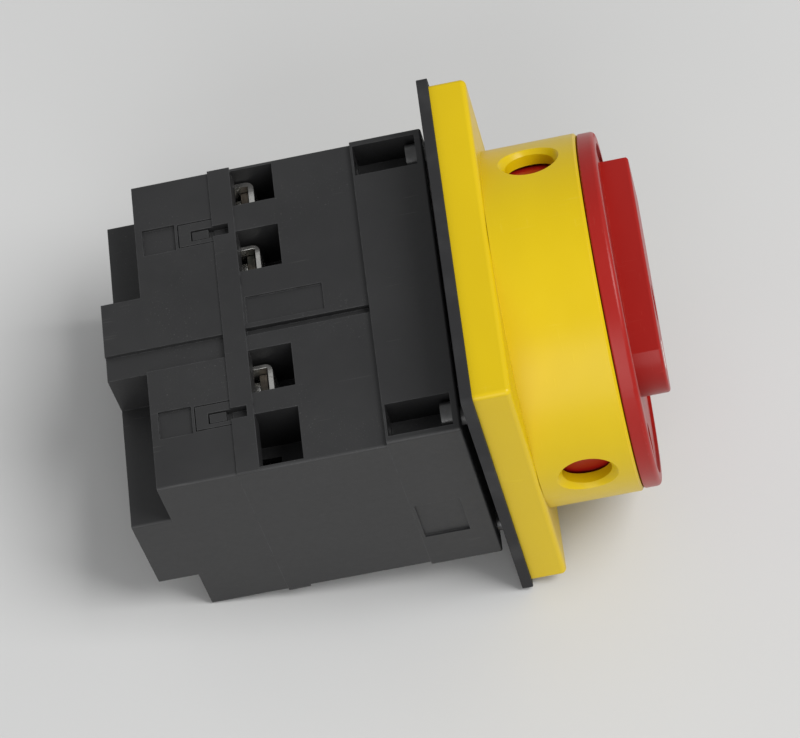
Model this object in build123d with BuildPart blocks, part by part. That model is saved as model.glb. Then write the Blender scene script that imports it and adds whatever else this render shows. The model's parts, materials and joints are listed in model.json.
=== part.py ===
from build123d import *
import os
from math import cos, radians, sin

# Rotary isolator switch for panel mounting, with a padlockable red handle on a yellow plate.
# Millimetres. +X runs along the shaft out of the front, +Z is the line terminal side.
# The origin is on the shaft axis, in the plane of the panel's outer face.

# ---- driving dimensions: front plate, lock collar and handle ----
plate_size = 60.0
plate_thick = 6.0
plate_floor = 2.5
gasket_thick = 1.8
gasket_overhang = 1.0
collar_inset = 0.4
collar_wall = 2.6
collar_height = 15.5
flange_inset = 0.3
flange_thick = 2.9
grip_height = 4.3
grip_half_width = 6.5
grip_setback = 4.4
grip_bulge = 2.7
hub_radius = 7.0
lock_hole_radius = 4.0
lock_angles = (0, 120, 240)

# ---- driving dimensions: contact block behind the panel ----
body_inset = 1.0
body_height = 39.0
front_rim = 0.9
front_depth = 11.9
contact_depth = 24.0
lug_depth = 12.9
tail_depth = 6.6
tail_height = 18.9
panel_gap = 1.4
wall = 2.4

# ---- driving dimensions: fixing screws, housing posts and poles ----
fix_inset_y = 4.1
fix_inset_z = 2.0
fix_screw_radius = 1.45
post_inset_y = 10.5
post_inset_z = 4.5
first_pole_inset = 4.1
pole_pitch = 12.5
spare_bay_inset = 6.4
spare_pitch = 11.9
bay_width_outer = 6.9
bay_width_inner = 7.9
bay_length = 7.0
bay_setback = 3.7

# ---- driving dimensions: mechanism ----
shaft_side = 5.0
shaft_length = 37.6
turn_angle = 90.0
contact_travel = 4.0
clamp_travel = 4.0

# ---- fits ----
run_gap = 0.08
seat_gap = 0.03
slide_gap = 0.3
push_gap = 0.02
screw_gap = 0.2
end_gap = 0.2
hole_gap = 0.15
flange_gap = 0.15
overrun = 1.0

# ---- stations along the shaft ----
x_plate = gasket_thick
x_plate_front = x_plate + plate_thick
x_collar = x_plate_front + collar_height
x_flange = x_collar + flange_gap
x_face = x_flange + flange_thick
x_grip = x_face + grip_height
x_front = -panel_gap
x_ring = x_front - front_depth
x_contact = x_ring - contact_depth
x_lug = x_contact - lug_depth
x_rear = x_lug - tail_depth

# ---- sizes that follow from them ----
collar_radius = plate_size / 2 - collar_inset
flange_radius = collar_radius - flange_inset
lock_slot_radius = collar_radius - collar_wall - lock_hole_radius
body_width = plate_size - 2 * body_inset
half_width = body_width / 2
half_height = body_height / 2
fix_pitch_y = body_width - 2 * fix_inset_y
fix_pitch_z = body_height - 2 * fix_inset_z
fix_hole_radius = fix_screw_radius + screw_gap
first_pole = half_width - first_pole_inset
spare_bay = spare_bay_inset - half_width
pole_places = (first_pole, first_pole - pole_pitch, spare_bay + spare_pitch)

os.makedirs("parts", exist_ok=True)


def block(x_from, x_to, y, z, width, height, mode=Mode.ADD, radius=0):
    """Rectangular block or cut between two stations along the shaft."""
    with BuildSketch(Plane.YZ.offset(x_from)) as profile:
        with Locations((y, z)):
            if radius:
                RectangleRounded(width, height, radius)
            else:
                Rectangle(width, height)
    extrude(profile.sketch, amount=x_to - x_from, mode=mode)


def rod(x_from, x_to, places, radius, mode=Mode.ADD):
    """Round rods or bores between two stations along the shaft."""
    with BuildSketch(Plane.YZ.offset(x_from)) as profile:
        with Locations(*places):
            Circle(radius)
    extrude(profile.sketch, amount=x_to - x_from, mode=mode)


def cross(x_top, places, length, width, depth):
    """Cross slot in screw heads, cut from the station x_top against +X."""
    for y, z in places:
        block(x_top - depth, x_top, y, z, length, width, Mode.SUBTRACT)
        block(x_top - depth, x_top, y, z, width, length, Mode.SUBTRACT)


def corners(pitch_y, pitch_z):
    """The four corners of a rectangular pattern about the shaft."""
    return [(sy * pitch_y / 2, sz * pitch_z / 2) for sy in (-1, 1) for sz in (-1, 1)]


def sector(radius, start, end):
    """Wedge outline from the shaft axis, angles in degrees from +Y towards +Z."""
    steps = 6
    rim = [start + (end - start) * i / steps for i in range(steps + 1)]
    return [(0, 0)] + [(radius * cos(radians(a)), radius * sin(radians(a))) for a in rim]


fix_places = corners(fix_pitch_y, fix_pitch_z)
centre = [(0, 0)]

# ---- gasket ----
gasket_size = plate_size + 2 * gasket_overhang
boss_wall = 3.5
boss_radius = hub_radius + boss_wall
boss_clearance = 1.0
gasket_opening = boss_radius + boss_clearance
gasket_hole_radius = fix_hole_radius + hole_gap

with BuildPart() as gasket:
    with BuildSketch(Plane.YZ):
        RectangleRounded(gasket_size, gasket_size, gasket_overhang)
        Circle(gasket_opening, mode=Mode.SUBTRACT)
        with Locations(*fix_places):
            Circle(gasket_hole_radius, mode=Mode.SUBTRACT)
    extrude(amount=gasket_thick)
gasket.part.label = "gasket"
export_step(gasket.part, "parts/gasket.step")

# ---- front plate: a shallow square tray with a bearing boss in the middle ----
plate_corner = 0.8
plate_edge = 0.9
boss_top = 12.0
clip_thick = 0.8
clip_reach = 2.0
clip_radius = hub_radius + clip_reach
clip_recess = 1.4
clip_clearance = 0.4
insert_radius = 2.1
insert_length = 4.6
tray_radius = collar_radius - collar_wall

with BuildPart() as front_plate:
    block(x_plate, x_plate_front, 0, 0, plate_size, plate_size, radius=plate_corner)
    fillet(front_plate.faces().sort_by(Axis.X)[-1].edges(), plate_edge)
    rod(x_plate + plate_floor, x_plate_front, centre, tray_radius, Mode.SUBTRACT)
    rod(x_plate, boss_top, centre, boss_radius)
    rod(x_plate, boss_top, centre, hub_radius + run_gap, Mode.SUBTRACT)
    rod(x_plate, x_plate + clip_recess, centre, clip_radius + clip_clearance, Mode.SUBTRACT)
    rod(x_plate, x_plate + insert_length, fix_places, insert_radius + push_gap, Mode.SUBTRACT)
front_plate.part.label = "front_plate"
export_step(front_plate.part, "parts/front_plate.step")

# ---- lock collar: the ring on the plate, with three flared padlock holes ----
collar_edge = 0.4
hole_station = x_plate_front + collar_height / 2
hole_flare = 1.2
flare_depth = 1.1
flare_overrun = 0.3

with BuildPart() as lock_collar:
    rod(x_plate_front, x_collar, centre, collar_radius)
    chamfer(lock_collar.edges().filter_by(GeomType.CIRCLE).sort_by(Axis.X)[-1], collar_edge)
    rod(x_plate_front, x_collar, centre, tray_radius, Mode.SUBTRACT)
    for angle in lock_angles:
        outward = (0, -cos(radians(angle)), sin(radians(angle)))
        hole_plane = Plane(origin=(hole_station, 0, 0), x_dir=(1, 0, 0), z_dir=outward)
        with BuildSketch(hole_plane.offset(tray_radius / 2)):
            Circle(lock_hole_radius)
        extrude(amount=collar_radius, mode=Mode.SUBTRACT)
        with Locations(hole_plane.offset(collar_radius - flare_depth)):
            Cone(lock_hole_radius, lock_hole_radius + hole_flare, flare_depth + flare_overrun,
                 align=(Align.CENTER, Align.CENTER, Align.MIN), mode=Mode.SUBTRACT)
lock_collar.part.label = "lock_collar"
export_step(lock_collar.part, "parts/lock_collar.step")

# ---- threaded inserts moulded into the back of the plate ----
thread_gap = 0.05

with BuildPart() as plate_inserts:
    rod(x_plate, x_plate + insert_length - push_gap, fix_places, insert_radius)
    rod(x_plate, x_plate + insert_length, fix_places, fix_screw_radius + thread_gap, Mode.SUBTRACT)
plate_inserts.part.label = "plate_inserts"
export_step(plate_inserts.part, "parts/plate_inserts.step")

# ---- handle: disc, grip bar and hub in one moulding, drawn at ON ----
skirt_gap = 0.5
skirt_radius = tray_radius - skirt_gap
skirt_wall = 2.0
skirt_seat = 0.8
slot_margin = 3.4
grip_short_end = lock_slot_radius - lock_hole_radius - grip_bulge - slot_margin
grip_long_end = flange_radius - grip_setback
grip_edge = 0.5
flange_edge = 0.8
flange_back_edge = 0.3
rim_width = 2.0
dish_depth = 0.5
root = 1.0
hub_reach = 0.5
hub_back = x_plate - hub_reach
hub_groove_depth = 0.8
seal_station = 8.6
seal_section = 0.8
socket_side = shaft_side + 2 * seat_gap
socket_depth = 18.0
socket_end = hub_back + socket_depth
handle_screw_radius = 1.45
screw_head_radius = 2.9
screw_sink = 1.2
screw_seat = x_face - screw_sink
clip_station = x_plate + slide_gap

with BuildPart() as handle:
    rod(x_flange, x_face, centre, flange_radius)
    rims = handle.edges().filter_by(GeomType.CIRCLE).sort_by(Axis.X)
    fillet(rims[-1], flange_edge)
    fillet(handle.edges().filter_by(GeomType.CIRCLE).sort_by(Axis.X)[0], flange_back_edge)
    rod(x_face - dish_depth, x_face, centre, flange_radius - rim_width, Mode.SUBTRACT)
    with BuildSketch(Plane.YZ.offset(x_flange + root)):
        with BuildLine():
            top_end = (-grip_short_end, grip_half_width)
            tip = (-grip_short_end - grip_bulge, 0)
            bottom_end = (-grip_short_end, -grip_half_width)
            ThreePointArc(top_end, tip, bottom_end)
            Polyline(bottom_end, (grip_long_end, -grip_half_width),
                     (grip_long_end, grip_half_width), top_end)
        make_face()
    extrude(amount=x_grip - x_flange - root)
    fillet(handle.faces().sort_by(Axis.X)[-1].edges(), grip_edge)
    with BuildSketch(Plane.YZ.offset(x_flange)):
        Circle(skirt_radius + push_gap)
        Circle(skirt_radius - skirt_wall - push_gap, mode=Mode.SUBTRACT)
    extrude(amount=skirt_seat, mode=Mode.SUBTRACT)
    rod(hub_back, x_flange + root, centre, hub_radius)
    with BuildSketch(Plane.YZ.offset(clip_station - seat_gap)):
        Circle(hub_radius)
        Circle(hub_radius - hub_groove_depth, mode=Mode.SUBTRACT)
    extrude(amount=clip_thick + 2 * seat_gap, mode=Mode.SUBTRACT)
    with BuildSketch(Plane.YZ.offset(seal_station - seal_section)):
        Circle(hub_radius)
        Circle(hub_radius - 2 * seal_section + run_gap, mode=Mode.SUBTRACT)
    extrude(amount=2 * seal_section, mode=Mode.SUBTRACT)
    block(hub_back, socket_end, 0, 0, socket_side, socket_side, Mode.SUBTRACT)
    rod(socket_end, x_grip, centre, handle_screw_radius + screw_gap, Mode.SUBTRACT)
    rod(screw_seat, x_grip, centre, screw_head_radius + slide_gap, Mode.SUBTRACT)
    for angle in lock_angles:
        turned = radians(angle + turn_angle)
        place = [(-lock_slot_radius * cos(turned), lock_slot_radius * sin(turned))]
        rod(x_flange - overrun, x_face + overrun, place, lock_hole_radius, Mode.SUBTRACT)
handle.part.label = "handle"
export_step(handle.part, "parts/handle.step")

# ---- handle skirt: a ring pressed into a groove in the back of the handle disc ----
# It closes the collar's holes at ON. A quarter turn to OFF brings its windows behind them.
skirt_clearance = 1.2
skirt_back = x_plate + plate_floor + skirt_clearance
skirt_front = x_flange + skirt_seat - push_gap
window_margin = 0.3
window_reach = skirt_front - hole_station + overrun

with BuildPart() as handle_skirt:
    rod(skirt_back, skirt_front, centre, skirt_radius)
    rod(skirt_back, skirt_front, centre, skirt_radius - skirt_wall, Mode.SUBTRACT)
    for angle in lock_angles:
        turned = radians(angle + turn_angle)
        window = Plane(origin=(hole_station, 0, 0), x_dir=(1, 0, 0), z_dir=(0, -cos(turned), sin(turned)))
        with BuildSketch(window.offset(skirt_radius / 2)):
            Circle(lock_hole_radius + window_margin)
            with Locations((window_reach / 2, 0)):
                Rectangle(window_reach, 2 * lock_hole_radius)
        extrude(amount=skirt_radius, mode=Mode.SUBTRACT)
handle_skirt.part.label = "handle_skirt"
export_step(handle_skirt.part, "parts/handle_skirt.step")

# ---- handle screw, with a cross slot ----
screw_head_length = 2.2
screw_head_edge = 0.7
screw_bite = 9.0
cross_depth = 1.3
cross_length = 3.6
cross_width = 0.8

with BuildPart() as handle_screw:
    rod(screw_seat, screw_seat + screw_head_length, centre, screw_head_radius)
    fillet(handle_screw.edges().filter_by(GeomType.CIRCLE).sort_by(Axis.X)[-1], screw_head_edge)
    rod(socket_end - screw_bite, screw_seat, centre, handle_screw_radius)
    cross(screw_seat + screw_head_length, centre, cross_length, cross_width, cross_depth)
handle_screw.part.label = "handle_screw"
export_step(handle_screw.part, "parts/handle_screw.step")

# ---- shaft seal ring in the hub groove ----
seal_slack = 0.05

with BuildPart() as hub_seal:
    with BuildSketch(Plane.XY):
        with Locations((seal_station, hub_radius - seal_section + run_gap)):
            Circle(seal_section - seal_slack)
    revolve(axis=Axis.X)
hub_seal.part.label = "hub_seal"
export_step(hub_seal.part, "parts/hub_seal.step")

# ---- retaining clip behind the plate, open on one side ----
clip_mouth = 4.0

with BuildPart() as retaining_clip:
    rod(clip_station, clip_station + clip_thick, centre, clip_radius)
    rod(clip_station, clip_station + clip_thick, centre,
        hub_radius - hub_groove_depth + seat_gap, Mode.SUBTRACT)
    block(clip_station, clip_station + clip_thick, 0, clip_radius, clip_mouth, clip_radius,
          Mode.SUBTRACT)
retaining_clip.part.label = "retaining_clip"
export_step(retaining_clip.part, "parts/retaining_clip.step")

# ---- square drive shaft ----
x_shaft_front = socket_end - end_gap
x_shaft_back = x_shaft_front - shaft_length
shaft_edge = 0.3
shaft_tap_depth = screw_bite + overrun

with BuildPart() as drive_shaft:
    block(x_shaft_back, x_shaft_front, 0, 0, shaft_side, shaft_side)
    chamfer(drive_shaft.edges().filter_by(Axis.X), shaft_edge)
    rod(x_shaft_front - shaft_tap_depth, x_shaft_front, centre, handle_screw_radius + thread_gap,
        Mode.SUBTRACT)
drive_shaft.part.label = "drive_shaft"
export_step(drive_shaft.part, "parts/drive_shaft.step")

# ---- front housing: index mechanism chamber and screw pockets ----
post_pitch_y = body_width - 2 * post_inset_y
post_pitch_z = body_height - 2 * post_inset_z
post_places = corners(post_pitch_y, post_pitch_z)
post_radius = 3.2
post_bore = 1.3
post_sink = 1.6
post_sink_radius = 2.7
cam_hub_wall = 2.0
cam_hub_radius = shaft_side / 2 + cam_hub_wall
pocket_width = 5.8
pocket_reach = 3.0
pocket_floor = fix_pitch_z / 2 - pocket_reach
pocket_wall = 1.2
pocket_back_wall = 0.4
ring_half_height = half_height + front_rim
cavity_edge = 1.7
cavity_inset = 8.5
ring_corner = 0.6
ring_edge = 0.4
recess_length = 7.4
recess_height = 10.5
recess_depth = 0.4
recess_offset = 5.6
recess_setback = 7.6

with BuildPart() as front_housing:
    block(x_ring, x_front, 0, 0, body_width, 2 * ring_half_height, radius=ring_corner)
    fillet(front_housing.faces().sort_by(Axis.X)[-1].edges(), ring_edge)
    block(x_ring, x_front - wall, 0, 0, body_width - 2 * cavity_inset, 2 * ring_half_height - 2 * wall,
          Mode.SUBTRACT)
    block(x_ring, x_front - wall, 0, 0, body_width - 2 * cavity_edge, 2 * pocket_floor - 2 * pocket_wall,
          Mode.SUBTRACT)
    rod(x_ring, x_front, post_places, post_radius)
    rod(x_ring, x_front, post_places, post_bore + screw_gap, Mode.SUBTRACT)
    rod(x_front - post_sink, x_front, post_places, post_sink_radius, Mode.SUBTRACT)
    rod(x_ring, x_front, centre, cam_hub_radius + run_gap, Mode.SUBTRACT)
    for y, z in fix_places:
        side = 1 if z > 0 else -1
        depth = ring_half_height - pocket_floor
        block(x_ring + pocket_back_wall, x_front - pocket_wall, y, side * (pocket_floor + depth / 2),
              pocket_width, depth, Mode.SUBTRACT)
    rod(x_ring, x_front, fix_places, fix_hole_radius, Mode.SUBTRACT)
    with BuildSketch(Plane.XZ.offset(half_width)):
        with Locations((x_front - recess_setback, -recess_offset)):
            Rectangle(recess_length, recess_height)
    extrude(amount=-recess_depth, mode=Mode.SUBTRACT)
front_housing.part.label = "front_housing"
export_step(front_housing.part, "parts/front_housing.step")

# ---- panel screws: heads in the front housing pockets, threads in the plate inserts ----
x_screw_seat = x_front - pocket_wall
fix_head_radius = 2.6
fix_head_length = 1.8
fix_end_setback = 0.8
fix_cross_length = 3.4
fix_cross_width = 0.7
fix_cross_depth = 0.8

with BuildPart() as panel_screws:
    rod(x_screw_seat - fix_head_length, x_screw_seat, fix_places, fix_head_radius)
    rod(x_screw_seat, x_plate + insert_length - fix_end_setback, fix_places, fix_screw_radius)
    cross(x_screw_seat - fix_head_length + fix_cross_depth, fix_places, fix_cross_length,
          fix_cross_width, fix_cross_depth)
panel_screws.part.label = "panel_screws"
export_step(panel_screws.part, "parts/panel_screws.step")

# ---- index cam: a rounded square that the leaf springs hold at each quarter turn ----
cam_rise = 2.5
cam_half = cam_hub_radius + cam_rise
cam_thick = 4.0
cam_setback = 1.7
cam_front = x_front - wall - cam_setback
cam_back = cam_front - cam_thick
cam_corner = 2.6

with BuildPart() as index_cam:
    block(cam_back, cam_front, 0, 0, 2 * cam_half, 2 * cam_half, radius=cam_corner)
    rod(x_ring + end_gap / 2, x_front - end_gap, centre, cam_hub_radius)
    block(x_ring, x_front, 0, 0, socket_side, socket_side, Mode.SUBTRACT)
index_cam.part.label = "index_cam"
export_step(index_cam.part, "parts/index_cam.step")

# ---- mechanism plate behind the index cam ----
mech_thick = 1.2
mech_inset = 2.2
mech_corner = 1.0
pin_radius = 1.0
pin_pitch_y = 29.0
leaf_thick = 0.5
leaf_gap = 0.07
curl_inside = pin_radius + seat_gap
leaf_level = cam_half + leaf_gap + leaf_thick / 2
pin_level = leaf_level + leaf_thick / 2 + curl_inside
pin_places = corners(pin_pitch_y, 2 * pin_level)

with BuildPart() as mechanism_plate:
    block(x_ring, x_ring + mech_thick, 0, 0, body_width - 2 * mech_inset,
          post_pitch_z - 2 * post_radius - 2 * slide_gap, radius=mech_corner)
    rod(x_ring, x_ring + mech_thick, centre, cam_hub_radius + run_gap, Mode.SUBTRACT)
    rod(x_ring, x_ring + mech_thick, pin_places, pin_radius + push_gap, Mode.SUBTRACT)
mechanism_plate.part.label = "mechanism_plate"
export_step(mechanism_plate.part, "parts/mechanism_plate.step")

# ---- pins that anchor the leaf springs ----
pin_reach = 0.4

with BuildPart() as spring_pins:
    rod(x_ring, cam_front + pin_reach, pin_places, pin_radius)
spring_pins.part.label = "spring_pins"
export_step(spring_pins.part, "parts/spring_pins.step")

# ---- leaf springs above and below the index cam, with a curl round each pin ----
leaf_side_gap = 0.2

for name, side in (("upper", 1), ("lower", -1)):
    with BuildPart() as leaf_spring:
        leaf_from = cam_back + leaf_side_gap
        leaf_to = cam_front - leaf_side_gap
        block(leaf_from, leaf_to, 0, side * leaf_level, pin_pitch_y, leaf_thick)
        curls = [(pin_pitch_y / 2, side * pin_level), (-pin_pitch_y / 2, side * pin_level)]
        rod(leaf_from, leaf_to, curls, curl_inside + leaf_thick)
        rod(leaf_from, leaf_to, curls, curl_inside, Mode.SUBTRACT)
    leaf_spring.part.label = f"index_spring_{name}"
    export_step(leaf_spring.part, f"parts/index_spring_{name}.step")

# ---- contact housing: four bays a side, three of them wired ----
bay_places = pole_places + (spare_bay,)
x_bay_back = x_contact + bay_setback
x_bay_front = x_bay_back + bay_length
body_corner = 0.5
chamber_half_height = 7.6
chamber_wall = 1.4
chamber_half_width = half_width - chamber_wall
bay_wall = 1.2
bay_floor = chamber_half_height + bay_wall
bay_neck = 3.3
bay_roof = half_height - bay_neck
bay_level = (bay_floor + bay_roof) / 2
bay_slope = 2.2
bay_slope_depth = 4.0
rotor_radius = 9.0
rotor_depth = 2.3
rotor_back = x_ring - rotor_depth
stop_reach = 2.0
stop_gap = 0.4
stop_from = 33
stop_angle = turn_angle + 24
stop_to = stop_from + stop_angle
contact_width = 3.4
contact_slot_length = 5.6
latch_inset = 11.5
latch_places = (half_width - latch_inset, latch_inset - half_width)
latch_width = 4.3
latch_length = 5.7
latch_thick = 1.2
latch_window = 2.0
latch_window_offset = 0.4
latch_window_from = 2.0
latch_window_reach = 2.6
latch_window_depth = 1.2
latch_root = 1.0
strip_rise = 0.3
strip_root = 0.1
groove_place = -3.2
groove_width = 1.4
groove_depth = 1.0
shallow_place = 0.9
shallow_width = 5.0
shallow_length = 12.6
shallow_depth = 0.35
shallow_setback = 0.4
post_bore_depth = 9.0
clamp_length = 7.5
clamp_side_gap = 0.3
clamp_height_gap = 0.5
clamp_width = bay_width_outer - 2 * clamp_side_gap
clamp_height = bay_roof - bay_floor - clamp_height_gap
clamp_sink = 0.7
terminal_level = bay_level
x_clamp_back = x_contact - clamp_sink
x_clamp_open = x_clamp_back + clamp_length + clamp_travel + screw_gap

with BuildPart() as contact_housing:
    block(x_contact, x_ring, 0, 0, body_width, body_height, radius=body_corner)
    for side in (1, -1):
        block(x_contact, x_bay_back, 0, side * (half_height + strip_rise / 2 - strip_root),
              body_width, strip_rise + 2 * strip_root)
        for y in latch_places:
            block(x_contact - latch_length, x_contact + latch_root, y, side * (half_height - latch_thick / 2),
                  latch_width, latch_thick)
            block(x_contact - latch_length + latch_window_from, x_contact + latch_window_reach,
                  y - latch_window_offset, side * half_height, latch_window, 2 * latch_window_depth,
                  Mode.SUBTRACT)
    block(x_contact, rotor_back, 0, 0, 2 * chamber_half_width, 2 * chamber_half_height, Mode.SUBTRACT)
    rod(x_contact, x_ring, centre, rotor_radius + run_gap, Mode.SUBTRACT)
    with BuildSketch(Plane.YZ.offset(rotor_back)):
        Circle(rotor_radius + stop_reach + stop_gap)
        Polygon(*sector(2 * rotor_radius, stop_from, stop_to), align=None, mode=Mode.INTERSECT)
    extrude(amount=x_ring - rotor_back, mode=Mode.SUBTRACT)
    rod(x_ring - post_bore_depth, x_ring, post_places, post_bore, Mode.SUBTRACT)
    for index, y in enumerate(bay_places):
        width = bay_width_outer if index == 0 else bay_width_inner
        for side in (1, -1):
            block(x_contact, x_clamp_open, y, side * bay_level, width, bay_roof - bay_floor,
                  Mode.SUBTRACT)
            block(x_bay_back, x_bay_front, y, side * (bay_roof + half_height) / 2, width,
                  half_height - bay_roof + overrun, Mode.SUBTRACT)
            block(x_contact, x_contact + contact_slot_length, y,
                  side * (chamber_half_height + bay_floor) / 2,
                  contact_width + 2 * screw_gap, bay_floor - chamber_half_height + 2 * screw_gap,
                  Mode.SUBTRACT)
    for side in (1, -1):
        spare_edge = spare_bay - bay_width_inner / 2
        with BuildSketch(Plane.YZ.offset(x_bay_back)):
            Polygon((spare_edge, side * (half_height - bay_slope_depth)),
                    (spare_edge - bay_slope, side * (half_height + overrun)),
                    (spare_edge, side * (half_height + overrun)), align=None)
        extrude(amount=bay_length, mode=Mode.SUBTRACT)
        block(x_bay_back, x_ring, groove_place, side * half_height, groove_width, 2 * groove_depth,
              Mode.SUBTRACT)
        block(x_bay_back + shallow_setback, x_bay_back + shallow_setback + shallow_length,
              shallow_place, side * half_height, shallow_width, 2 * shallow_depth, Mode.SUBTRACT)
contact_housing.part.label = "contact_housing"
export_step(contact_housing.part, "parts/contact_housing.step")

# ---- screws that hold the front housing to the contact housing ----
x_post_seat = x_front - post_sink
x_post_head = x_front - end_gap / 2
post_end_gap = 0.5
post_cross_length = 3.2
post_cross_width = 0.7
post_cross_depth = 0.9

with BuildPart() as housing_screws:
    rod(x_post_seat, x_post_head, post_places, post_sink_radius - screw_gap)
    rod(x_ring - post_bore_depth + post_end_gap, x_post_seat, post_places, post_bore - thread_gap)
    cross(x_post_head, post_places, post_cross_length, post_cross_width, post_cross_depth)
housing_screws.part.label = "housing_screws"
export_step(housing_screws.part, "parts/housing_screws.step")

# ---- cam rotor, drawn at ON: two helical ramps hold the contact carrier back ----
ramp_inner = 6.2
ramp_outer = 8.8
ramp_base = 0.6
follower_place = (ramp_inner + ramp_outer) / 2
x_ramp = rotor_back - end_gap / 2
x_rotor_front = x_ring - end_gap
nose_radius = cam_hub_radius - end_gap / 2
nose_length = 3.3
nose_gap = 1.0
ramp_lead_in = 12
ramp_steps = 6
lug_angle = 20
lug_slack = 2
lug_from = stop_from + lug_slack
lug_to = lug_from + lug_angle
lug_gap = 0.1

with BuildPart() as cam_rotor:
    rod(x_ramp, x_rotor_front, centre, rotor_radius)
    with BuildSketch(Plane.YZ.offset(rotor_back + lug_gap)):
        Circle(rotor_radius + stop_reach)
        Polygon(*sector(2 * rotor_radius, lug_from, lug_to), align=None, mode=Mode.INTERSECT)
    extrude(amount=x_rotor_front - rotor_back - lug_gap)
    rod(x_ramp - nose_length, x_ramp, centre, nose_radius)
    for start in (-turn_angle, 180 - turn_angle):
        sections = [(-ramp_lead_in, 0)]
        sections += [(turn_angle * i / ramp_steps, i / ramp_steps) for i in range(ramp_steps + 1)]
        sections += [(turn_angle + ramp_lead_in, 1)]
        for angle, rise in sections:
            turn = radians(start + angle)
            height = ramp_base + contact_travel * rise
            section_plane = Plane(origin=(x_ramp + ramp_base, 0, 0), x_dir=(0, cos(turn), sin(turn)),
                                  z_dir=(0, -sin(turn), cos(turn)))
            with BuildSketch(section_plane):
                with Locations((follower_place, height / 2)):
                    Rectangle(ramp_outer - ramp_inner, height)
        loft(ruled=True)
    block(x_ramp - nose_length, x_ring, 0, 0, socket_side, socket_side, Mode.SUBTRACT)
cam_rotor.part.label = "cam_rotor"
export_step(cam_rotor.part, "parts/cam_rotor.step")

# ---- contact carrier, drawn at ON: one cross-bar with a window for each pole ----
follower_radius = 1.1
follower_gap = 0.3
x_follower = x_ramp - contact_travel - follower_gap - follower_radius
carrier_front = x_ramp - contact_travel - nose_length - nose_gap
carrier_thick = 7.2
carrier_back = carrier_front - carrier_thick
carrier_half_height = 4.0
tie_thick = 1.2
window_width = contact_width + 2 * screw_gap
guide_radius = 2.6

with BuildPart() as contact_carrier:
    block(carrier_back, carrier_front, 0, 0, 2 * chamber_half_width - 2 * slide_gap,
          2 * carrier_half_height)
    for y in bay_places:
        block(carrier_back + tie_thick, carrier_front - tie_thick, y, 0, window_width,
              2 * carrier_half_height, Mode.SUBTRACT)
    followers = [(follower_place, 0), (-follower_place, 0)]
    rod(carrier_front, x_follower, followers, follower_radius)
    for y, z in followers:
        with Locations((x_follower, y, z)):
            Sphere(follower_radius)
    rod(carrier_back, carrier_front, centre, guide_radius + run_gap, Mode.SUBTRACT)
contact_carrier.part.label = "contact_carrier"
export_step(contact_carrier.part, "parts/contact_carrier.step")

# ---- fixed and moving contacts, clamps and terminal screws, pole by pole ----
strip_thick = 1.0
strip_length = 2 * chamber_half_height - 2 * slide_gap
strip_edge = 0.4
tip_thick = 0.8
tip_radius = 1.5
tip_inset = 2.0
tip_level = chamber_half_height - tip_inset
tip_gap = 0.05
x_strip = carrier_back + tie_thick
x_closed = x_strip - tip_thick
fixed_tip = 0.95
x_fixed = x_closed - tip_gap - fixed_tip
fixed_thick = 1.2
fixed_reach = 1.7
fixed_inner = tip_level - fixed_reach
fixed_root = 0.1
tongue_width = 4.6
tongue_setback = 1.8
x_fixed_back = x_fixed - fixed_thick
spring_pitch = 0.85
spring_radius = 1.2
spring_wire = 0.22
clamp_wall = 0.9
clamp_side_wall = 0.75
clamp_corner = 1.3
clamp_inner_corner = 0.2
screw_radius = 1.75
screw_tip = x_fixed_back - tip_gap
shoulder_setback = 3.0
screw_shoulder = x_contact - shoulder_setback
terminal_head_radius = 2.9
terminal_head_length = 2.4
terminal_cross_length = 4.4
terminal_cross_width = 0.9
terminal_cross_depth = 1.3

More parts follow.
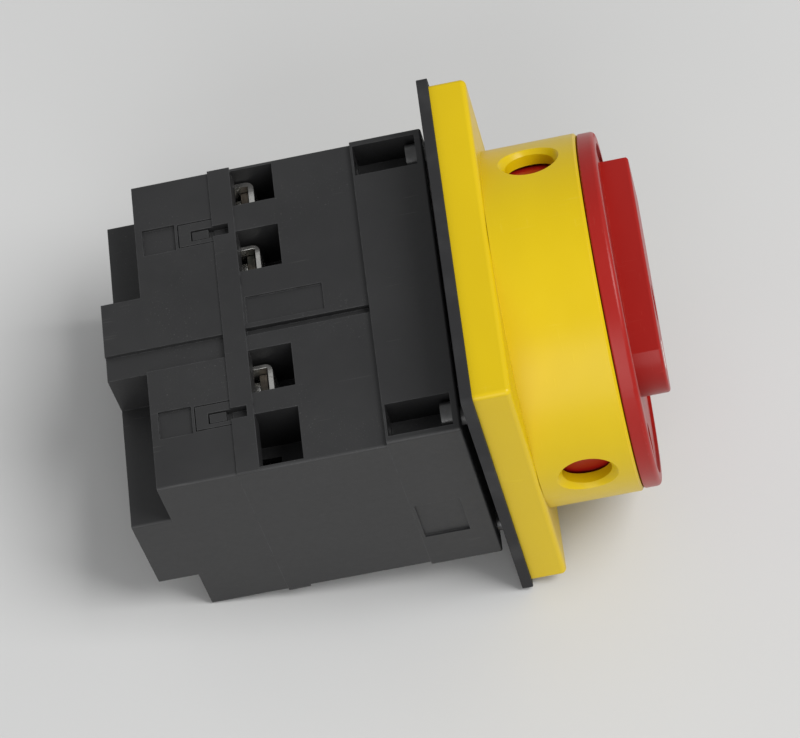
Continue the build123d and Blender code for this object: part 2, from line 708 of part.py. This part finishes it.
for number, y in enumerate(pole_places, start=1):
    with BuildPart() as moving_contact:
        block(x_strip, x_strip + strip_thick, y, 0, contact_width, strip_length)
        chamfer(moving_contact.edges().filter_by(Axis.Y).sort_by(Axis.X)[-2:], strip_edge)
        rod(x_strip - tip_thick, x_strip, [(y, tip_level), (y, -tip_level)], tip_radius)
    moving_contact.part.label = f"moving_contact_{number}"
    export_step(moving_contact.part, f"parts/moving_contact_{number}.step")

    spring_start = x_strip + strip_thick + slide_gap
    spring_end = carrier_front - tie_thick - slide_gap
    with BuildPart() as contact_spring:
        with BuildLine() as coil:
            Helix(pitch=spring_pitch, height=spring_end - spring_start, radius=spring_radius,
                  center=(spring_start, y, 0), direction=(1, 0, 0))
        with BuildSketch(Plane(origin=coil.line @ 0, z_dir=coil.line % 0)):
            Circle(spring_wire)
        sweep(path=coil.line, is_frenet=True)
    contact_spring.part.label = f"contact_spring_{number}"
    export_step(contact_spring.part, f"parts/contact_spring_{number}.step")

    for supply, side in (("line", 1), ("load", -1)):
        tongue_from = bay_floor + slide_gap
        tongue_to = terminal_level + clamp_height / 2 - tongue_setback
        level = side * terminal_level
        with BuildPart() as fixed_contact:
            block(x_fixed_back, x_fixed, y, side * (fixed_inner + tongue_from + fixed_root) / 2,
                  contact_width, tongue_from + fixed_root - fixed_inner)
            block(x_fixed_back, x_fixed, y, side * (tongue_from + tongue_to) / 2, tongue_width,
                  tongue_to - tongue_from)
            rod(x_fixed, x_fixed + fixed_tip, [(y, side * tip_level)], tip_radius)
        fixed_contact.part.label = f"{supply}_contact_{number}"
        export_step(fixed_contact.part, f"parts/{supply}_contact_{number}.step")

        with BuildPart() as clamp:
            with BuildSketch(Plane.XY.offset(level - clamp_height / 2)):
                with Locations((x_clamp_back + clamp_length / 2, y)):
                    RectangleRounded(clamp_length, clamp_width, clamp_corner)
                    RectangleRounded(clamp_length - 2 * clamp_wall, clamp_width - 2 * clamp_side_wall,
                                     clamp_inner_corner, mode=Mode.SUBTRACT)
            extrude(amount=clamp_height)
            rod(x_clamp_back - overrun, x_clamp_back + 2 * clamp_wall, [(y, level)], screw_radius + thread_gap,
                Mode.SUBTRACT)
        clamp.part.label = f"{supply}_clamp_{number}"
        export_step(clamp.part, f"parts/{supply}_clamp_{number}.step")

        with BuildPart() as terminal_screw:
            x_head = screw_shoulder - terminal_head_length
            rod(x_head, screw_shoulder, [(y, level)], terminal_head_radius)
            rod(screw_shoulder, screw_tip, [(y, level)], screw_radius)
            cross(x_head + terminal_cross_depth, [(y, level)], terminal_cross_length,
                  terminal_cross_width, terminal_cross_depth)
        terminal_screw.part.label = f"{supply}_screw_{number}"
        export_step(terminal_screw.part, f"parts/{supply}_screw_{number}.step")

# ---- rear cover: lugs with screwdriver bores, centre block and tail ----
block_left = 7.1
block_right = -2.8
ledge_right = -7.1
ledge_drop = 0.75
cover_wall = 1.8
chamber_ease = 0.25
seat_setback = 3.8
seat_station = x_contact - seat_setback
guide_root_radius = 4.6
guide_setback = 0.4
catch_gap = 0.2
catch_front_gap = 0.8
recess_gap = 0.6
finger_recess = 5.4
finger_width = 5.0
finger_depth = 0.5
terminal_places = [(y, side * terminal_level) for y in pole_places for side in (1, -1)]

with BuildPart() as rear_cover:
    block(x_lug, x_contact, 0, 0, body_width, body_height, radius=body_corner)
    block(x_rear, x_lug, 0, 0, body_width, tail_height, radius=body_corner)
    block(x_rear, x_lug, (block_left + ledge_right) / 2, 0, block_left - ledge_right, body_height)
    for side in (1, -1):
        block(x_rear, x_contact, (block_right + ledge_right) / 2, side * half_height,
              block_right - ledge_right, 2 * ledge_drop, Mode.SUBTRACT)
        for y in latch_places:
            block(x_contact - latch_length - hole_gap, x_contact, y,
                  side * (half_height - latch_thick / 2), latch_width + 2 * hole_gap,
                  latch_thick + 2 * hole_gap, Mode.SUBTRACT)
            block(x_contact - latch_length + latch_window_from + catch_gap,
                  x_contact - catch_front_gap, y - latch_window_offset,
                  side * (half_height - latch_thick / 2 - catch_gap), latch_window - 2 * catch_gap,
                  latch_thick)
            block(x_contact - latch_length - recess_gap - finger_recess,
                  x_contact - latch_length - recess_gap, y, side * half_height, finger_width,
                  2 * finger_depth, Mode.SUBTRACT)
    block(x_rear + cover_wall, x_contact, 0, 0, 2 * chamber_half_width,
          tail_height - 2 * cover_wall + 2 * chamber_ease, Mode.SUBTRACT)
    for y, z in terminal_places:
        block(x_contact - clamp_sink - screw_gap, x_contact, y, z, clamp_width + 2 * clamp_side_gap,
              clamp_height + clamp_height_gap, Mode.SUBTRACT)
    rod(x_rear + cover_wall, seat_station, centre, guide_root_radius)
    rod(seat_station, carrier_front - guide_setback, centre, guide_radius)
    rod(x_lug, screw_shoulder + thread_gap, terminal_places, terminal_head_radius + run_gap, Mode.SUBTRACT)
    rod(screw_shoulder, x_contact, terminal_places, screw_radius + run_gap, Mode.SUBTRACT)
rear_cover.part.label = "rear_cover"
export_step(rear_cover.part, "parts/rear_cover.step")

# ---- opening spring round the guide pin, compressed at ON ----
opening_pitch = 1.2
opening_radius = 3.4
opening_wire = 0.4
spring_end_gap = 0.45

with BuildPart() as opening_spring:
    with BuildLine() as wind:
        Helix(pitch=opening_pitch, height=carrier_back - seat_station - 2 * spring_end_gap,
              radius=opening_radius, center=(seat_station + spring_end_gap, 0, 0),
              direction=(1, 0, 0))
    with BuildSketch(Plane(origin=wind.line @ 0, z_dir=wind.line % 0)):
        Circle(opening_wire)
    sweep(path=wind.line, is_frenet=True)
opening_spring.part.label = "opening_spring"
export_step(opening_spring.part, "parts/opening_spring.step")
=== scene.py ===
import json
from math import cos, pi, radians, sin

import bmesh
import bpy
from mathutils import Matrix, Vector


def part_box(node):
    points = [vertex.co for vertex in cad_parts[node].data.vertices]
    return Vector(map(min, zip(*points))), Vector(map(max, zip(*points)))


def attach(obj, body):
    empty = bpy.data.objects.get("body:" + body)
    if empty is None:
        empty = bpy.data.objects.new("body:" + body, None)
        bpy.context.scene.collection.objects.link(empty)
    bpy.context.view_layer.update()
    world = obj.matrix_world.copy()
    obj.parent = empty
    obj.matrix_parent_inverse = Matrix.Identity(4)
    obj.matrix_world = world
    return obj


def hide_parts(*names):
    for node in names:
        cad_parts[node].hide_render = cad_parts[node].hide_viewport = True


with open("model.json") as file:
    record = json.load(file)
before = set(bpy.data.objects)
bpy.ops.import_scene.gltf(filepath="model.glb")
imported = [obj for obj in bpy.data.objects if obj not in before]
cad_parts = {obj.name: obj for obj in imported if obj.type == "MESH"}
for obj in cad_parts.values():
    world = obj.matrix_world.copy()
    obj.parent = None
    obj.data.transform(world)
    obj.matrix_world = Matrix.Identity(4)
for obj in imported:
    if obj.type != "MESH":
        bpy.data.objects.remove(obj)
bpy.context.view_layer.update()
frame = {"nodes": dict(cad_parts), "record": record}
mm = 0.001

# ---- Gasket ----
# The real piece is a die-cut sheet of black cellular rubber that seals the plate to the panel.
# It is a little larger than the plate, so its cut edge shows all round, and the screws hold it.


class Shade:
    """One output of a material's node tree: arithmetic adds Math nodes, node() adds any other."""

    def __init__(self, tree, socket):
        self.tree = tree
        self.socket = socket

    def node(self, kind, settings=(), inputs=(), output=0):
        made = self.tree.nodes.new(kind)
        for name, value in dict(settings).items():
            setattr(made, name, value)
        for key, value in dict(inputs).items():
            if isinstance(value, Shade):
                self.tree.links.new(value.socket, made.inputs[key])
            else:
                made.inputs[key].default_value = value
        return Shade(self.tree, made.outputs[output])

    def maths(self, operation, *values):
        return self.node("ShaderNodeMath", {"operation": operation}, dict(enumerate(values)))

    def __add__(self, other):
        return self.maths("ADD", self, other)

    def __sub__(self, other):
        return self.maths("SUBTRACT", self, other)

    def __rsub__(self, other):
        return self.maths("SUBTRACT", other, self)

    def __mul__(self, other):
        return self.maths("MULTIPLY", self, other)

    __radd__ = __add__
    __rmul__ = __mul__


def start_material(name):
    """A new material, its main shader, and the place on the piece, in metres, to work from."""
    material = bpy.data.materials.new(name)
    material.use_nodes = True
    tree = material.node_tree
    shader = tree.nodes["Principled BSDF"]
    place = Shade(tree, tree.nodes.new("ShaderNodeTexCoord").outputs["Object"])
    return material, shader, place


def feed(shader, inputs):
    """Link or set the sockets of the main shader."""
    for name, value in inputs.items():
        if isinstance(value, Shade):
            value.tree.links.new(value.socket, shader.inputs[name])
        else:
            shader.inputs[name].default_value = value


def grain(place, per_metre, detail=2.0, rough=0.5, stretch=(1, 1, 1)):
    """Noise from 0 to 1, with so many lumps to the metre."""
    spot = place.node("ShaderNodeVectorMath", {"operation": "MULTIPLY"}, {0: place, 1: stretch})
    return place.node("ShaderNodeTexNoise", inputs={
        "Vector": spot, "Scale": per_metre, "Detail": detail, "Roughness": rough})


def band(value, low, high):
    """0 below low, 1 above high, and smooth between."""
    return value.node("ShaderNodeMapRange", {"interpolation_type": "SMOOTHSTEP"},
                      {0: value, 1: low, 2: high, 3: 0.0, 4: 1.0})


def mix(amount, first, second):
    """Colour that goes from first to second as amount goes from 0 to 1."""
    return amount.node("ShaderNodeMix", {"data_type": "RGBA"}, {0: amount, 6: first, 7: second}, 2)


def bump(height, depth):
    """Normal of a surface raised by height, 0 to 1, times depth in metres."""
    return height.node("ShaderNodeBump", inputs={"Strength": 1.0, "Distance": depth, "Height": height})


def sealing_rubber():
    """Matt black rubber: fine closed pores, pale bloom in patches."""
    material, shader, place = start_material("sealing_rubber")
    pore_depth = 0.02 * mm
    pores = grain(place, 3500, 3.0, 0.6)
    bloom = band(grain(place, 120, 3.0), 0.45, 0.75)
    feed(shader, {
        "Base Color": mix(bloom, (0.016, 0.016, 0.017, 1), (0.030, 0.030, 0.031, 1)),
        "Roughness": 0.72 + 0.12 * pores,
        "Specular IOR Level": 0.35,
        "Normal": bump(pores, pore_depth),
    })
    return material


def moulding(name, nodes, body, material, edge, segments=3):
    """Piece shaped as these CAD nodes are, welded into one skin with every hard edge rounded off."""
    weld_gap = 0.002 * mm
    evening_weight = 90
    flat_within = radians(0.4)
    hard_angle = radians(32)
    skin = bmesh.new()
    for node in nodes:
        skin.from_mesh(frame["nodes"][node].data)
    bmesh.ops.remove_doubles(skin, verts=skin.verts, dist=weld_gap)
    bmesh.ops.dissolve_limit(skin, angle_limit=flat_within, verts=skin.verts, edges=skin.edges)
    mesh = bpy.data.meshes.new(name)
    skin.to_mesh(mesh)
    skin.free()
    mesh.shade_smooth()
    mesh.set_sharp_from_angle(angle=hard_angle)
    mesh.materials.clear()
    mesh.materials.append(material)
    piece = bpy.data.objects.new(name, mesh)
    bpy.context.scene.collection.objects.link(piece)
    rounding = piece.modifiers.new("rounding", "BEVEL")
    rounding.width = edge
    rounding.segments = segments
    rounding.limit_method = "ANGLE"
    rounding.angle_limit = hard_angle
    rounding.use_clamp_overlap = True
    rounding.harden_normals = True
    evening = piece.modifiers.new("evening", "WEIGHTED_NORMAL")
    evening.keep_sharp = True
    evening.weight = evening_weight
    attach(piece, body)
    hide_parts(*nodes)
    return piece


gasket_edge = 0.15 * mm
rubber = sealing_rubber()
moulding("gasket_sheet", ["gasket"], "base", rubber, gasket_edge, 2)

# ---- Front plate and lock collar ----
# The real piece is one injection moulding in yellow polyamide: a shallow square tray with a deep
# round collar. Padlocks go through the three flared holes. The gate and the tool leave faint marks.


def edge_wear(place, reach):
    """1 on outside and inside corners, 0 on open faces; reach is how far it goes, in metres."""
    ray_samples = 4
    softened = place.node("ShaderNodeBevel", {"samples": ray_samples}, {"Radius": reach})
    facing = place.node("ShaderNodeNewGeometry", output="Normal")
    match = place.node("ShaderNodeVectorMath", {"operation": "DOT_PRODUCT"}, {0: softened, 1: facing},
                       "Value")
    return band(1 - match, 0.02, 0.22)


def hairlines(place, per_metre, stretch):
    """Sparse fine scratches along one direction."""
    strands = grain(place, per_metre, 1.0, 0.5, stretch)
    patches = band(grain(place, 90, 2.0), 0.52, 0.62)
    return band(strands, 0.70, 0.74) * patches


def moulded_plastic(name, colour, deep, worn, gloss, texture, texture_depth, wear):
    """Moulded plastic: flow shading, fine tool texture, rubbed edges and a few hairlines."""
    material, shader, place = start_material(name)
    wear_reach = 0.35 * mm
    flow = band(grain(place, 45, 3.0, 0.6, (1, 0.4, 0.4)), 0.3, 0.7)
    skin = grain(place, texture, 2.0, 0.6)
    ripple = grain(place, 260, 2.0)
    rubbed = edge_wear(place, wear_reach) * band(grain(place, 700, 3.0), 0.35, 0.65)
    marks = hairlines(place, 160, (1, 26, 3)) + hairlines(place, 160, (24, 2, 1))
    body = mix(flow, colour, deep)
    rubbed_body = mix(rubbed * wear, body, worn)
    feed(shader, {
        "Base Color": mix(marks * (0.5 * wear), rubbed_body, worn),
        "Roughness": gloss + 0.10 * ripple + 0.12 * marks + 0.08 * rubbed,
        "Normal": bump(skin + 0.6 * ripple + 0.5 * (1 - marks), texture_depth),
        "Specular IOR Level": 0.3,
    })
    return material


yellow = moulded_plastic("yellow_polyamide", (0.64, 0.455, 0.001, 1), (0.60, 0.42, 0.001, 1),
                         (0.72, 0.56, 0.05, 1), 0.30, 1500, 0.010 * mm, 0.35)
collar_rounding = 0.25 * mm
moulding("yellow_plate_and_collar", ["front_plate", "lock_collar"], "base", yellow,
         collar_rounding)

# ---- Handle ----
# The real piece is signal red polyamide: disc, grip bar and hub, with a skirt ring behind the disc.
# The skirt closes the collar's holes at ON, and its windows and the disc's slots open them at OFF.

red = moulded_plastic("red_polyamide", (0.34, 0.010, 0.006, 1), (0.30, 0.008, 0.005, 1),
                      (0.50, 0.09, 0.06, 1), 0.28, 1500, 0.010 * mm, 0.35)
handle_rounding = 0.15 * mm
moulding("red_handle", ["handle", "handle_skirt"], "turning", red, handle_rounding, 2)

# ---- Position line ----
# The real mark is a white stripe hot-stamped into the pointing end of the grip, so that the
# switch's position reads from the front.

grip_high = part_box("handle")[1]
line_length = 5.2 * mm
line_width = 1.5 * mm
line_proud = 0.05 * mm
line_from_axis = 12.6 * mm


def white_paint():
    """Hot-stamped white foil, slightly uneven."""
    material, shader, place = start_material("white_stamping")
    foil_relief = 0.004 * mm
    cover = grain(place, 1800, 3.0)
    feed(shader, {
        "Base Color": mix(band(cover, 0.35, 0.6), (0.66, 0.64, 0.60, 1), (0.78, 0.77, 0.74, 1)),
        "Roughness": 0.42 + 0.1 * cover,
        "Normal": bump(cover, foil_relief),
    })
    return material


def stripe(name, x, y_from, length, width, proud, body, material):
    """Round-ended stripe on a face across the shaft, with softened edges."""
    shape = bmesh.new()
    radius = width / 2
    steps = 10
    turns = [pi / 2 + pi * i / steps for i in range(steps + 1)]
    rim = [(-length / 2 + radius + radius * cos(turn), radius * sin(turn)) for turn in turns]
    rim += [(-y, -z) for y, z in rim]
    low = [shape.verts.new((x - proud, y_from + y, z)) for y, z in rim]
    high = [shape.verts.new((x + proud, y_from + y, z)) for y, z in rim]
    shape.faces.new(reversed(low))
    shape.faces.new(high)
    for i in range(len(rim)):
        j = (i + 1) % len(rim)
        shape.faces.new((low[i], low[j], high[j], high[i]))
    bmesh.ops.recalc_face_normals(shape, faces=shape.faces)
    mesh = bpy.data.meshes.new(name)
    shape.to_mesh(mesh)
    shape.free()
    mesh.materials.append(material)
    mesh.shade_smooth()
    mesh.set_sharp_from_angle(angle=radians(40))
    piece = bpy.data.objects.new(name, mesh)
    bpy.context.scene.collection.objects.link(piece)
    softening = piece.modifiers.new("softening", "BEVEL")
    softening.width = 0.8 * proud
    softening.segments = 2
    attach(piece, body)
    return piece


stripe("position_line", grip_high.x, -line_from_axis + line_length / 2, line_length, line_width,
       line_proud, "turning", white_paint())

# ---- Handle screw, panel screws and housing screws ----
# The real ones are zinc-plated steel, cold-headed with a cross recess. The plating is faintly
# blue. The panel screws' plating colour is painted much darker, as painted shade of the notches they sit
# in.


def plated_metal(name, colour, tarnish, gloss, brushed):
    """Plated metal: blotchy plating, rolling lines and a few dark specks."""
    material, shader, place = start_material(name)
    plating_relief = 0.012 * mm
    cloud = band(grain(place, 260, 3.0), 0.35, 0.7)
    specks = band(grain(place, 2600, 2.0), 0.68, 0.76)
    lines = grain(place, 420, 2.0, 0.6, (1, 9, 9)) * brushed
    feed(shader, {
        "Base Color": mix(specks * 0.6, mix(cloud, colour, tarnish), (0.10, 0.09, 0.08, 1)),
        "Metallic": 1.0,
        "Roughness": gloss + 0.16 * cloud + 0.10 * lines + 0.15 * specks,
        "Normal": bump(lines + 0.4 * cloud, plating_relief),
    })
    return material


zinc = plated_metal("zinc_plating", (0.60, 0.61, 0.63, 1), (0.47, 0.47, 0.47, 1), 0.24, 0.6)
# Panel screw plating: colour painted dark, painted shade of the notches the screws sit in.
shade_darkened_zinc = plated_metal("shade_darkened_zinc_plating", (0.17, 0.17, 0.17, 1), (0.10, 0.10, 0.10, 1), 0.34, 0.6)
screw_rounding = 0.12 * mm
for screws, body, plating in (("handle_screw", "turning", zinc), ("panel_screws", "base", shade_darkened_zinc),
                              ("housing_screws", "base", zinc)):
    moulding(f"cross_recess_{screws}", [screws], body, plating, screw_rounding, 2)

# ---- Front housing, contact housing and rear cover ----
# The real pieces are three mouldings in black glass-filled polyamide with a fine spark-eroded skin.
# Four long screws hold the front two together, and two latches a side hold the rear cover.


def housing_black():
    """Black glass-filled polyamide: matt skin, greyer rubbed edges, faint dust and cloudy flow."""
    material, shader, place = start_material("housing_black")
    wear_reach = 0.30 * mm
    skin_relief = 0.014 * mm
    skin = grain(place, 4200, 3.0, 0.65)
    coarse = grain(place, 900, 3.0)
    cloud = band(grain(place, 38, 4.0, 0.6), 0.30, 0.72)
    flow = grain(place, 30, 3.0, 0.6, (1, 5, 5))
    rubbed = edge_wear(place, wear_reach) * band(grain(place, 500, 3.0), 0.30, 0.60)
    dust = band(grain(place, 5200, 1.0), 0.70, 0.78) * band(grain(place, 60, 2.0), 0.45, 0.62)
    marks = hairlines(place, 120, (1, 30, 4))
    body = mix(cloud, (0.0120, 0.0120, 0.0126, 1), (0.0175, 0.0175, 0.0180, 1))
    worn = mix(rubbed * 0.55, body, (0.070, 0.070, 0.072, 1))
    dusty = mix(dust * 0.35 + marks * 0.10, worn, (0.16, 0.16, 0.155, 1))
    feed(shader, {
        "Base Color": dusty,
        "Roughness": 0.40 + 0.10 * coarse + 0.10 * cloud + 0.06 * flow + 0.08 * rubbed,
        "Normal": bump(skin + 0.8 * coarse + 0.15 * (1 - marks), skin_relief),
        "IOR": 1.52,
    })
    return material


black = housing_black()
housing_rounding = 0.18 * mm
for housing in ("front_housing", "contact_housing", "rear_cover"):
    moulding(f"black_{housing}", [housing], "base", black, housing_rounding, 2)

# ---- Terminal clamps and terminal screws ----
# Each real clamp is a cage bent from nickel-plated steel strip, and its screw pulls it down on the
# contact. All are alike, three on the line side and three on the load side.

nickel = plated_metal("nickel_plating", (0.74, 0.73, 0.70, 1), (0.60, 0.59, 0.56, 1), 0.16, 1.0)
clamp_rounding = 0.14 * mm
for supply in ("line", "load"):
    for pole in (1, 2, 3):
        for kind in ("clamp", "screw"):
            node = f"{supply}_{kind}_{pole}"
            moulding(f"nickel_{node}", [node], node, nickel, clamp_rounding, 2)

# ---- Pieces inside the housings and behind the plate ----
# These stay as the frame has them: shaft, springs, pins and plate in zinc-plated steel, cams and
# carrier in natural polyamide, contacts in tinned copper painted dark as painted shade, inserts in
# brass.


def copper_strip():
    """Tinned copper strip, rolled, its colour painted dark as painted shade inside the clamps, with
    darker oxide in patches.
    """
    material, shader, place = start_material("copper_strip")
    rolling_relief = 0.01 * mm
    oxide = band(grain(place, 320, 4.0), 0.42, 0.72)
    rolled = grain(place, 500, 2.0, 0.6, (12, 12, 1))
    feed(shader, {
        # Painted shade: both colours are kept dark so the contacts read as shaded inside the clamps; the
        # oxide patches are real.
        "Base Color": mix(oxide, (0.20, 0.17, 0.14, 1), (0.07, 0.075, 0.065, 1)),
        "Metallic": 1.0,
        "Roughness": 0.28 + 0.2 * oxide + 0.1 * rolled,
        "Normal": bump(rolled, rolling_relief),
    })
    return material


natural = moulded_plastic("natural_polyamide", (0.62, 0.60, 0.54, 1), (0.55, 0.53, 0.47, 1),
                          (0.74, 0.73, 0.70, 1), 0.42, 1800, 0.012 * mm, 0.3)
brass = plated_metal("turned_brass", (0.74, 0.54, 0.22, 1), (0.60, 0.41, 0.16, 1), 0.26, 0.8)
finishes = {"steel": zinc, "pale_plastic": natural, "contact_metal": copper_strip(), "brass": brass,
            "seal": rubber, "plated_steel": nickel, "black": black, "yellow": yellow, "red": red}
for part in frame["record"]["subparts"]:
    node = frame["nodes"][part["node"]]
    for place_for_material in node.material_slots:
        place_for_material.material = finishes[part["material_slot"]]

# ---- Floor, light and camera ----
# The switch lies on a pale table, on the gasket's lower edge and the back edge of the rear cover's
# lugs, so the table slopes against the shaft. One large soft light stands to the right.

gasket_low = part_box("gasket")[0]
cover_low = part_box("rear_cover")[0]
tail_depth = 6.6 * mm
rest_front = Vector((gasket_low.x, 0, gasket_low.z))
rest_back = Vector((cover_low.x + tail_depth, 0, cover_low.z))
floor_size = 0.9
floor_along = (rest_front - rest_back).normalized()
floor_across = Vector((0, 1, 0))
floor_normal = floor_along.cross(floor_across)
floor_drop = 0.05 * mm


def table_top():
    """Pale grey laminate, almost even, with a very faint mottle."""
    material, shader, place = start_material("table_top")
    speckle_relief = 0.01 * mm
    mottle = grain(place, 9, 3.0)
    speckle = grain(place, 900, 2.0)
    feed(shader, {
        "Base Color": mix(band(mottle, 0.3, 0.7), (0.535, 0.535, 0.530, 1), (0.555, 0.555, 0.550, 1)),
        "Roughness": 0.55 + 0.06 * speckle,
        "Specular IOR Level": 0.3,
        "Normal": bump(speckle, speckle_relief),
    })
    return material


surface = bmesh.new()
middle = rest_back - floor_normal * floor_drop
corners = [middle + floor_along * (along * floor_size) + floor_across * (across * floor_size)
           for along, across in ((-1, -1), (1, -1), (1, 1), (-1, 1))]
surface.faces.new([surface.verts.new(corner) for corner in corners])
bmesh.ops.recalc_face_normals(surface, faces=surface.faces)
table_mesh = bpy.data.meshes.new("table")
surface.to_mesh(table_mesh)
surface.free()
table_mesh.materials.append(table_top())
table = bpy.data.objects.new("table", table_mesh)
bpy.context.scene.collection.objects.link(table)

room_colour = (0.98, 0.99, 1.0, 1)
room_strength = 0.44
world = bpy.data.worlds.new("studio")
bpy.context.scene.world = world
world.use_nodes = True
world.node_tree.nodes["Background"].inputs["Color"].default_value = room_colour
world.node_tree.nodes["Background"].inputs["Strength"].default_value = room_strength


def soft_light(name, spot, aim, size, power):
    """Square area light at spot, turned to aim."""
    data = bpy.data.lights.new(name, "AREA")
    data.size = size
    data.energy = power
    lamp = bpy.data.objects.new(name, data)
    lamp.location = spot
    lamp.rotation_mode = "QUATERNION"
    lamp.rotation_quaternion = (Vector(aim) - Vector(spot)).to_track_quat("-Z", "Y")
    bpy.context.scene.collection.objects.link(lamp)


key_place = (0.90, -0.22, 1.10)
key_aim = (-0.02, 0, 0)
key_size = 0.80
key_power = 17.0
soft_light("key", key_place, key_aim, key_size, key_power)

fill_place = (-0.10, -1.12, 0.50)
fill_aim = (-0.03, 0, 0)
fill_size = 0.90
fill_power = 6.2
soft_light("fill", fill_place, fill_aim, fill_size, fill_power)

aim = Vector((-12.25, -2.31, -1.46)) * mm
camera_distance = 602.2 * mm
camera_azimuth = radians(10.42)
camera_elevation = radians(57.32)
camera_roll = radians(19.69)
camera_lens = 165.4
camera_sensor = 36.0
back = Vector((sin(camera_azimuth) * cos(camera_elevation), -cos(camera_azimuth) * cos(camera_elevation),
               sin(camera_elevation)))
camera_data = bpy.data.cameras.new("camera")
camera_data.lens = camera_lens
camera_data.sensor_width = camera_sensor
camera = bpy.data.objects.new("camera", camera_data)
camera.location = aim + back * camera_distance
camera.rotation_mode = "QUATERNION"
level = (-back).to_track_quat("-Z", "Y").to_matrix()
camera.rotation_quaternion = (level @ Matrix.Rotation(-camera_roll, 3, "Z")).to_quaternion()
bpy.context.scene.collection.objects.link(camera)
bpy.context.scene.camera = camera
bpy.context.scene.view_settings.view_transform = "Standard"

bpy.context.view_layer.update()
